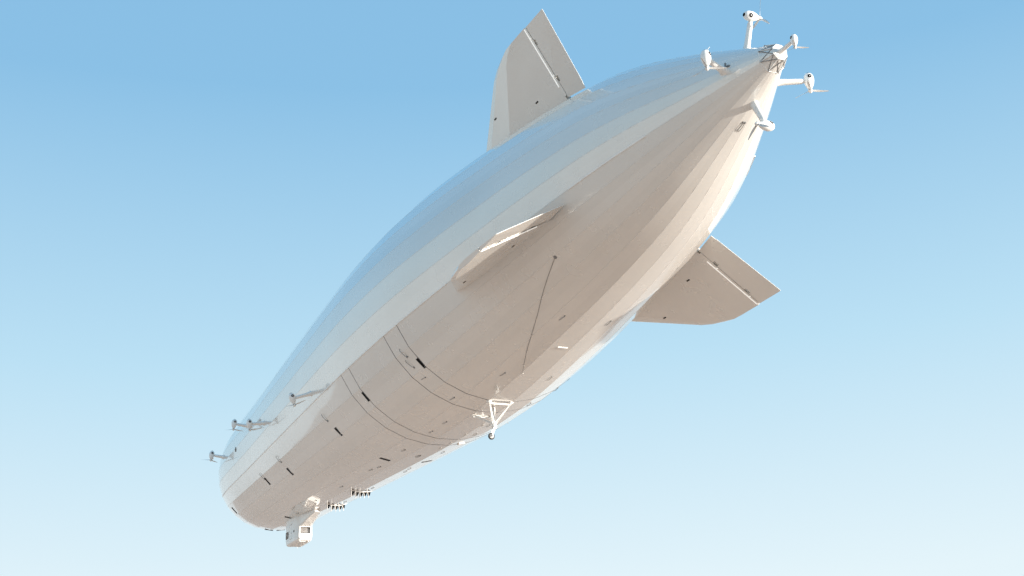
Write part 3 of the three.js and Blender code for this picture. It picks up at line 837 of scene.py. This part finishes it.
def vent_parts(frame, sign):
    """A dark round vent with a raised lip and a pale hub, on one cheek of the pod."""

    def skin(x, u, lift):
        r = pod_radius(x) + lift
        z = min(max(u, -r * 0.99), r * 0.99)
        return frame.at(x, sign * math.sqrt(r * r - z * z), z)

    def ring(share, lift):
        reach = VENT_RADIUS * share
        return [skin(VENT_PLACE + reach * math.cos(a), reach * math.sin(a), lift) for a in circle(24)]

    return [loft([ring(*row) for row in rows]) for rows in (VENT_LIP, VENT_HOLE, VENT_CENTRE)]


def belt(frame, x):
    return lathe(frame, [(x + dx, pod_radius(x) + dr) for dx, dr in BELT_SECTION], 36)


def blade_frame(frame, turn):
    """The frame of one blade: z runs out along it, x stays on the shaft."""
    a = math.radians(turn)
    out = frame.z * math.cos(a) + frame.y * math.sin(a)
    return Frame(frame.at(BLADE_PLANE, 0, 0), frame.x, out, frame.scale)


def blade_shape(f):
    rings = []
    for r, chord, thick, pitch, sweep_back in BLADE_SHAPE:
        p = math.radians(pitch)
        ring = []
        for t in circle(18):
            along = 0.5 * chord * math.cos(t) + sweep_back
            deep = 0.5 * thick * math.sin(t) * (0.75 + 0.35 * math.cos(t))
            x = along * math.sin(p) + deep * math.cos(p)
            y = along * math.cos(p) - deep * math.sin(p)
            ring.append(f.at(x, y, r))
        rings.append(ring)
    return loft(rings)


def build_pod(name, frame, turn, mats):
    pod, propeller = f"pod_{name}", f"propeller_{name}"
    make_piece(f"pod_skin_{name}", [lathe(frame, POD_OUTLINE, 36)], mats["pod"], pod, 40, (pod,))
    lips, holes, centres = zip(*(vent_parts(frame, sign) for sign in (1, -1)))
    nose = lathe(frame, NOSE_DISC, 24)
    belts = [belt(frame, x) for x in BELT_PLACES]
    make_piece(f"pod_vents_{name}", [*holes, nose], mats["black"], pod, 40)
    make_piece(f"pod_trim_{name}", [*lips, *centres, *belts], mats["trim"], pod, 40)
    make_piece(f"spinner_{name}", [lathe(frame, HUB_OUTLINE, 28)], mats["hub"], propeller, 40,
               (propeller,))
    frames = [blade_frame(frame, turn + 360 / BLADE_COUNT * k) for k in range(BLADE_COUNT)]
    blades = [blade_shape(f) for f in frames]
    cuffs = [oval_bar(f, BLADE_CUFF, 16) for f in frames]
    make_piece(f"blades_{name}", blades, mats["blade"], propeller, 40)
    make_piece(f"blade_cuffs_{name}", cuffs, mats["grey"], propeller, 40)


def build_pods(mats):
    for side_name, side in (("port", 1), ("starboard", -1)):
        for number, (pod, turn) in enumerate(zip(SIDE_PODS, SIDE_BLADE_TURNS), 1):
            name = f"{side_name}_{number}"
            f = side_frame(pod, side)
            make_piece(f"strut_{name}", pylon_shape(f, pod[2]), mats["white"], sharp=40,
                       replaces=(f"pylon_{name}",))
            build_pod(name, f, turn, mats)
    for (name, angle), turn in zip(TAIL_PODS.items(), TAIL_BLADE_TURNS):
        build_pod(f"tail_{name}", tail_frame(angle), turn, mats)
    build_pod("stern", stern_frame(), STERN_BLADE_TURN, mats)


# Fins

FIN_ROOT = 7
FIN_SPAN = 5.95
FIN_TIP = 12.85
HINGE_HALVES = (0.2, 0.12)  # half thickness at the hinge, root and tip
THICKEST_HALVES = (0.36, 0.19)
TRAILING_EDGES = (104.5, 105)
LEADING_EDGE = (90, 8.7)  # station and distance from the axis of a point on it
LEADING_SWEEP = 1.744
TIP_ROUND_START = 12.1
TIP_ROUND = 2.1
FIN_SLOTS = [(99.3, 8.5), (93.9, 10)]
FIN_SLOT_HALF_LENGTH = 0.17
FIN_SLOT_HALF_WIDTH = 0.05
COVER_ROOT = 7.3
COVER_AHEAD = 0.16
COVER_BACK = HINGE_STATION - 0.01
HINGE_LINE_ROOT = 8.1
HINGE_LINE_AHEAD = 0.1
HINGE_LINE_SECTION = [(-0.045, -0.02), (0.045, -0.02), (0.045, 0.055), (-0.045, 0.055)]
HINGE_ARMS = (8.9, 12.0)
HINGE_ARM_LIFT = 0.055
TRIM_ROOT = 7.2
TRIM_RADIUS = 0.018


def fin_frame(angle):
    return Frame(place(0, 0, 0), (-1, 0, 0), radial(angle))


def along_fin(r, root, tip):
    """A value that goes evenly from the fin's root to its tip."""
    return root + (tip - root) * (r - FIN_ROOT) / FIN_SPAN


def hinge_half(r):
    return along_fin(r, *HINGE_HALVES)


def trailing_edge(r):
    return along_fin(r, *TRAILING_EDGES)


def fin_half(station, r):
    """Half the fin's thickness at a station, from its section's corners."""
    station_there, r_there = LEADING_EDGE
    tip_cut = TIP_ROUND * max(0, r - TIP_ROUND_START) ** 2
    front = station_there + (r - r_there) * LEADING_SWEEP + tip_cut
    hinge = hinge_half(r)
    rear = HINGE_STATION - hinge - 0.06
    t = along_fin(r, *THICKEST_HALVES)
    share = (station - front) / (rear - front)
    return float(np.interp(share, (0, 0.02, 0.12, 0.4, 1), (0, 0.3 * t, 0.75 * t, t, 1.02 * hinge)))


def hinge_cover(f, side):
    """A thin plate on the fixed fin that reaches back over the hinge gap, clear of the moving nose."""
    rows = []
    for r in spread(COVER_ROOT, FIN_TIP, 10):
        half = hinge_half(r)
        front = HINGE_STATION - half - COVER_AHEAD
        section = ((front, -0.02), (COVER_BACK, 0.022), (COVER_BACK, 0.036), (front, 0.02))
        rows.append([f.at(s, side * (half + y), r) for s, y in section])
    return loft(rows)


def hinge_line(f, side):
    """The strip ahead of the hinge gap, and two short arms that point aft from it; both get pale paint
    with a faint glow of painted sunlight.
    """
    rows = []
    for r in spread(HINGE_LINE_ROOT, FIN_TIP, 10):
        half = hinge_half(r)
        s = HINGE_STATION - half - HINGE_LINE_AHEAD
        rows.append([f.at(s + x, side * (half + y), r) for x, y in HINGE_LINE_SECTION])
    shapes = [loft(rows)]
    for r in HINGE_ARMS:
        half = hinge_half(r)
        y = side * (half + HINGE_ARM_LIFT)
        line = HINGE_STATION - half - HINGE_LINE_AHEAD
        shapes.append(bar(f, [(line, y, r), (HINGE_STATION - 0.03, y, r + 0.06)], 0.03))
    return shapes


def fin_slot(f, side, station, r):
    y = side * fin_half(station, r)
    depth = sorted((y - side * 0.006, y + side * 0.024))
    return box_shape(f, (station - FIN_SLOT_HALF_LENGTH, station + FIN_SLOT_HALF_LENGTH), depth,
                     (r - FIN_SLOT_HALF_WIDTH, r + FIN_SLOT_HALF_WIDTH))


def build_fin_details(mats):
    covers, lines, slots, trims = [], [], [], {}
    for name, angle in FIN_ANGLES.items():
        f = fin_frame(angle)
        for side in (1, -1):
            covers.append(hinge_cover(f, side))
            lines += hinge_line(f, side)
            slots += [fin_slot(f, side, *point) for point in FIN_SLOTS]
        edge = [(trailing_edge(r) + 0.01, 0, r) for r in spread(TRIM_ROOT, FIN_TIP, 8)]
        trims[name] = bar(f, edge, TRIM_RADIUS)
    make_piece("fin_hinge_covers", covers, mats["skin"])
    # The hinge strips and arms glow faintly: painted sunlight along the hinge gap.
    make_piece("fin_hinge_strips", lines, mats["gap_sunlight_glow"])
    make_piece("fin_slots", slots, mats["black"])
    for name, trim in trims.items():
        make_piece(f"trailing_edge_{name}", [trim], mats["white"], f"control_surface_{name}")


# Gondola and gear

GONDOLA_FLOOR = -10.7
REAR_WALL_FOOT = 24.95
REAR_WALL_RUN = 0.2
REAR_WALL_RISE = 1.35
WALL_SEAL = 1.045
FRONT_PANES = ((0.05, 0.52), (-0.52, -0.05))
FRONT_LOW_STATION = 19.63
FRONT_HIGH_STATION = 19.5
REAR_PANE_HALF = 0.56
SEAL_RADIUS = 0.028
WAIST_TRIM = [(19.95, 0.93, -10.28), (20.4, 1.04, -10.3), (21.2, 1.06, -10.3), (23.9, 1.06, -10.3),
              (24.6, 0.93, -10.28), (24.95, 0.82, -10.26)]
BELLY_TRIM = [(20.4, 0.5, -10.93), (21.2, 0.55, -10.97), (23.9, 0.55, -10.97), (24.5, 0.5, -10.92)]
ROOF_TRIM = [(25.2, 0.7, -9.3), (26.4, 0.63, -9.1), (27.5, 0.56, -8.93), (28.8, 0.42, -8.72)]
BELLY_MASTS = (20.9, 22.4, 23.7)
VENT_OUTLINE = [(0, 0.12), (0.02, 0.13), (0.045, 0.11), (0.02, 0.07)]
SEAT_OFFSETS = (-0.38, 0.38)
DOOR_GRIP = [(22.72, -1.05, -9.75), (22.72, -1.1, -9.75), (22.9, -1.1, -9.75), (22.9, -1.05, -9.75)]


def ship_frame(height=0.0):
    """Local x is the station, y starboard and z up from a height."""
    return Frame(place(0, 0, height), (-1, 0, 0), (0, 0, 1))


def rear_wall(z):
    """Station of the gondola's sloping rear wall at a height."""
    return REAR_WALL_FOOT + REAR_WALL_RUN * (z - GONDOLA_FLOOR) / REAR_WALL_RISE


def window_seals(ship):
    """Rubber beads round every window."""
    low, high = WINDOW_BAND
    loops = []
    for side, spans in WINDOW_SPANS.items():
        y = side * WALL_SEAL
        for a, b in spans:
            loops.append([(a, y, low), (b, y, low), (b, y, high), (a, y, high)])
    for y0, y1 in FRONT_PANES:
        loops.append([(FRONT_LOW_STATION, y0, low), (FRONT_LOW_STATION, y1, low),
                      (FRONT_HIGH_STATION, y1, high), (FRONT_HIGH_STATION, y0, high)])
    top = high - 0.1
    half = REAR_PANE_HALF
    rear = ((-half, low), (half, low), (half, top), (-half, top))
    loops.append([(rear_wall(z) + 0.01, y, z) for y, z in rear])
    return [bar(ship, loop + loop[:2], SEAL_RADIUS, 6) for loop in loops]


def gondola_trim(ship):
    def on_side(path, side):
        return [(s, side * y, z) for s, y, z in path]

    white = [bar(ship, WAIST_TRIM, 0.03)]
    white += [bar(ship, on_side(BELLY_TRIM, side), 0.05) for side in (1, -1)]
    for station in spread(21, 24.2, 7):
        white.append(bar(ship, [(station, -0.7, -10.95), (station, 0.7, -10.95)], 0.03))
    for x in BELLY_MASTS:
        white.append(bar(ship, [(x, 0.2, -10.93), (x + 0.1, 0.2, -11.2)], 0.018))
    white += [bar(ship, on_side(ROOF_TRIM, side), 0.025) for side in (1, -1)]
    return white


def seat_cushions(ship):
    cushions = []
    for station in SEAT_STATIONS:
        for y in SEAT_OFFSETS:
            seat = ((station + 0.02, station + 0.38), (y - 0.2, y + 0.2), (-10.4, -10.3))
            back = ((station + 0.3, station + 0.4), (y - 0.19, y + 0.19), (-10.25, -9.84))
            cushions += [box_shape(ship, *seat, 0.03), box_shape(ship, *back, 0.03)]
    return cushions


def build_gondola(mats):
    ship = ship_frame()
    make_piece("gondola_window_seals", window_seals(ship), mats["black"])
    make_piece("gondola_trim", gondola_trim(ship), mats["white"])
    vent = Frame(ship.at(23.85, -1.04, -9.72), (0, 1, 0), (0, 0, 1))
    make_piece("gondola_vent", [lathe(vent, VENT_OUTLINE, 20)], mats["black"])
    make_piece("seat_cushions", seat_cushions(ship), mats["seat"])
    make_piece("door_handle", [bar(ship, DOOR_GRIP, 0.02)], mats["grey"], "gondola_door")


COLLAR_RINGS = [
    [(-1.72, 0.17), (-1.7, 0.205), (-1.6, 0.21), (-1.58, 0.19)],
    [(-1.4, 0.19), (-1.38, 0.21), (-1.3, 0.21), (-1.26, 0.12)],
    [(-0.6, 0.1), (-0.58, 0.13), (-0.1, 0.14), (0.0, 0.16)],
]
FOOT_OUTLINE = [(-0.05, 0.24), (0.02, 0.24), (0.04, 0.22), (0.06, 0.19), (0.12, 0.17)]
FOOT_BOLT = [(0.1, 0.05), (0.17, 0.05), (0.19, 0.03)]
TYRE_OUTLINE = [
    (-0.085, 0.165), (-0.09, 0.2), (-0.088, 0.235), (-0.07, 0.262), (-0.04, 0.276), (0, 0.28),
    (0.04, 0.276), (0.07, 0.262), (0.088, 0.235), (0.09, 0.2), (0.085, 0.165),
]
RIM_OUTLINE = [
    (-0.094, 0.05), (-0.098, 0.07), (-0.085, 0.1), (-0.085, 0.13), (-0.098, 0.16), (-0.09, 0.172),
    (0.09, 0.172), (0.098, 0.16), (0.085, 0.13), (0.085, 0.1), (0.098, 0.07), (0.094, 0.05),
]
AXLE_NUT = [(0, 0.03), (0, 0.06), (0.03, 0.06), (0.04, 0.03)]
AXLE_NUT_PLACES = (-0.225, 0.185)


def keel_depth(station):
    """How far the keel's flat facet lies below the axis, in real metres."""
    return polyline_radius(station) * math.cos(math.pi / FACETS)


def gear_fittings(ship, keel):
    s = GEAR_STATION
    collar = Frame(ship.at(s, 0, 0), (0, 0, 1), (1, 0, 0))
    fixed = [lathe(collar, rings, 24) for rings in COLLAR_RINGS]
    for station, y in GEAR_FEET:
        drop = keel_depth(station) - keel
        foot = Frame(ship.at(station, y, -drop), (0, 0, -1), (1, 0, 0))
        fixed.append(lathe(foot, FOOT_OUTLINE, 20))
        fixed.append(lathe(foot, FOOT_BOLT, 12))
        fixed.append(bar(ship, [(station, y, -drop - 0.1), (s, y * 0.15, -1.5)], 0.03))
    fixed.append(bar(ship, [(77.7, -0.3, -0.03), (77.7, -0.3, -0.4), (s - 0.1, 0, -1.1)], 0.03))
    front, half_span = GEAR_FEET[2]
    height = -(keel_depth(front) - keel) - 0.14
    fixed.append(bar(ship, [(front, y, height) for y in (-half_span, half_span)], 0.08))
    return fixed


def build_gear(mats):
    keel = keel_depth(GEAR_STATION)
    ship = ship_frame(-keel)
    make_piece("gear_fittings", gear_fittings(ship, keel), mats["white"], sharp=40)
    wheel = Frame(ship.at(GEAR_STATION, -CASTOR_TRAIL, -WHEEL_DROP), (1, 0, 0), (0, 0, 1))
    tyre = lathe(wheel, TYRE_OUTLINE, 40)
    make_piece("tyre", [tyre], mats["rubber"], "gear_wheel", 50, ("gear_wheel",))
    make_piece("wheel_rim", [lathe(wheel, RIM_OUTLINE, 32)], mats["white"], "gear_wheel", 40)
    nuts = [lathe(wheel, [(start + x, r) for x, r in AXLE_NUT], 6) for start in AXLE_NUT_PLACES]
    make_piece("axle_nuts", nuts, mats["grey"], "gear_castor", 30)


# Stage


def build_stage():
    """A plain floor under the frame, with a faint warm glow that lights the belly."""
    mesh = bpy.data.meshes.new("floor")
    corners = ((-1, -1), (1, -1), (1, 1), (-1, 1))
    verts = [(x * FLOOR_REACH, y * FLOOR_REACH, FLOOR_HEIGHT) for x, y in corners]
    mesh.from_pydata(verts, [], [(0, 1, 2, 3)])
    paint = new_material("floor_paint", FLOOR_COLOR, 0.8)
    shader(paint).inputs["Emission Color"].default_value = (*FLOOR_GLOW, 1)
    shader(paint).inputs["Emission Strength"].default_value = 1
    mesh.materials.append(paint)
    floor = bpy.data.objects.new("floor", mesh)
    bpy.context.collection.objects.link(floor)


def add_light(name, direction, energy, color, angle):
    data = bpy.data.lights.new(name, "SUN")
    data.energy = energy
    data.color = color
    data.angle = math.radians(angle)
    lamp = bpy.data.objects.new(name, data)
    lamp.rotation_mode = "QUATERNION"
    lamp.rotation_quaternion = Vector(direction).to_track_quat("-Z", "Y")
    bpy.context.collection.objects.link(lamp)


def build_lights():
    """A low warm key from starboard, and a pale sky that is deeper blue overhead."""
    bpy.context.scene.view_settings.view_transform = "Standard"
    add_light("key", KEY_DIRECTION, KEY_STRENGTH, KEY_COLOR, KEY_ANGLE)
    world = bpy.data.worlds.new("studio")
    bpy.context.scene.world = world
    world.use_nodes = True
    tree = world.node_tree
    coords = tree.nodes.new("ShaderNodeTexCoord")
    split = tree.nodes.new("ShaderNodeSeparateXYZ")
    tree.links.new(coords.outputs["Generated"], split.inputs[0])
    colors = tree.nodes.new("ShaderNodeValToRGB")
    stops = colors.color_ramp.elements
    while len(stops) < len(SKY):
        stops.new(0.5)
    for stop, (position, color) in zip(stops, SKY):
        stop.position = position
        stop.color = (*color, 1)
    tree.links.new(split.outputs[2], colors.inputs[0])
    tree.links.new(colors.outputs[0], tree.nodes["Background"].inputs["Color"])


def build_camera():
    data = bpy.data.cameras.new("photo_camera")
    data.sensor_width = CAMERA_SENSOR
    data.lens = CAMERA_LENS
    data.shift_x, data.shift_y = CAMERA_SHIFT
    data.clip_start, data.clip_end = CAMERA_CLIP
    camera = bpy.data.objects.new("photo_camera", data)
    forward = Vector(CAMERA_FORWARD).normalized()
    right = forward.cross(Vector(CAMERA_UP)).normalized()
    up = right.cross(forward)
    rotation = Matrix((right, up, -forward)).transposed()
    camera.matrix_world = Matrix.Translation(CAMERA_PLACE) @ rotation.to_4x4()
    bpy.context.collection.objects.link(camera)
    bpy.context.scene.camera = camera


def build_materials():
    return {
        "skin": skin_material("laminate_skin", (0.78, 0.755, 0.71), (0.66, 0.635, 0.59)),
        "seam": paint_material("seam_tape", (0.72, 0.695, 0.65), 0.4),
        "white": paint_material("white_paint", (0.86, 0.85, 0.82)),
        "pod": paint_material("pod_gloss", (0.84, 0.83, 0.8), 0.2, 0.02),
        "trim": paint_material("pod_trim", (0.62, 0.61, 0.6), 0.4),
        "hub": paint_material("hub_gloss", (0.78, 0.77, 0.74), 0.25, 0.03),
        "blade": weave_material("blade_composite", (0.42, 0.415, 0.4), 0.35),
        "black": dark_material("vent_black", (0.003, 0.003, 0.003), 0.9, gloss=0.1),
        "line": dark_material("ring_line_tape", (0.06, 0.06, 0.065), 0.7),
        "grey": paint_material("grey_fitting", (0.2, 0.2, 0.2), 0.45),
        "rope": dark_material("rope_fibre", (0.14, 0.13, 0.12), 0.85),
        # Pale paint with a faint glow: painted sunlight for the fins' hinge strips.
        "gap_sunlight_glow": painted_gap_sunlight_material("hinge_strip_painted_sunlight"),
        "glass": glass_material("cabin_glass"),
        "seat": dark_material("seat_cloth", (0.06, 0.07, 0.09), 0.9, 420.0),
        "interior": paint_material("cabin_grey", (0.3, 0.3, 0.31), 0.6),
        "rubber": rubber_material("tyre_rubber"),
    }


CAD_FINISH = {
    "envelope": "skin", "structure": "white", "pylon": "white", "nacelle": "pod",
    "propeller": "blade", "glazing": "glass", "interior": "interior", "tyre": "rubber",
}


def finish_cad_nodes(frame, mats):
    slots = {part["node"]: part["material_slot"] for part in frame["record"]["subparts"]}
    for name, node in frame["nodes"].items():
        if name in slots:
            for k in range(len(node.material_slots)):
                node.material_slots[k].material = mats[CAD_FINISH[slots[name]]]


def main():
    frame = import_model()
    mats = build_materials()
    build_camera()
    build_stage()
    build_lights()
    finish_cad_nodes(frame, mats)
    build_hull(mats)
    build_slots(mats)
    build_small_fittings(mats)
    build_scoops(mats)
    build_rigging(mats)
    build_tail(mats)
    build_pods(mats)
    build_fin_details(mats)
    build_gondola(mats)
    build_gear(mats)
    bpy.context.view_layer.update()


main()
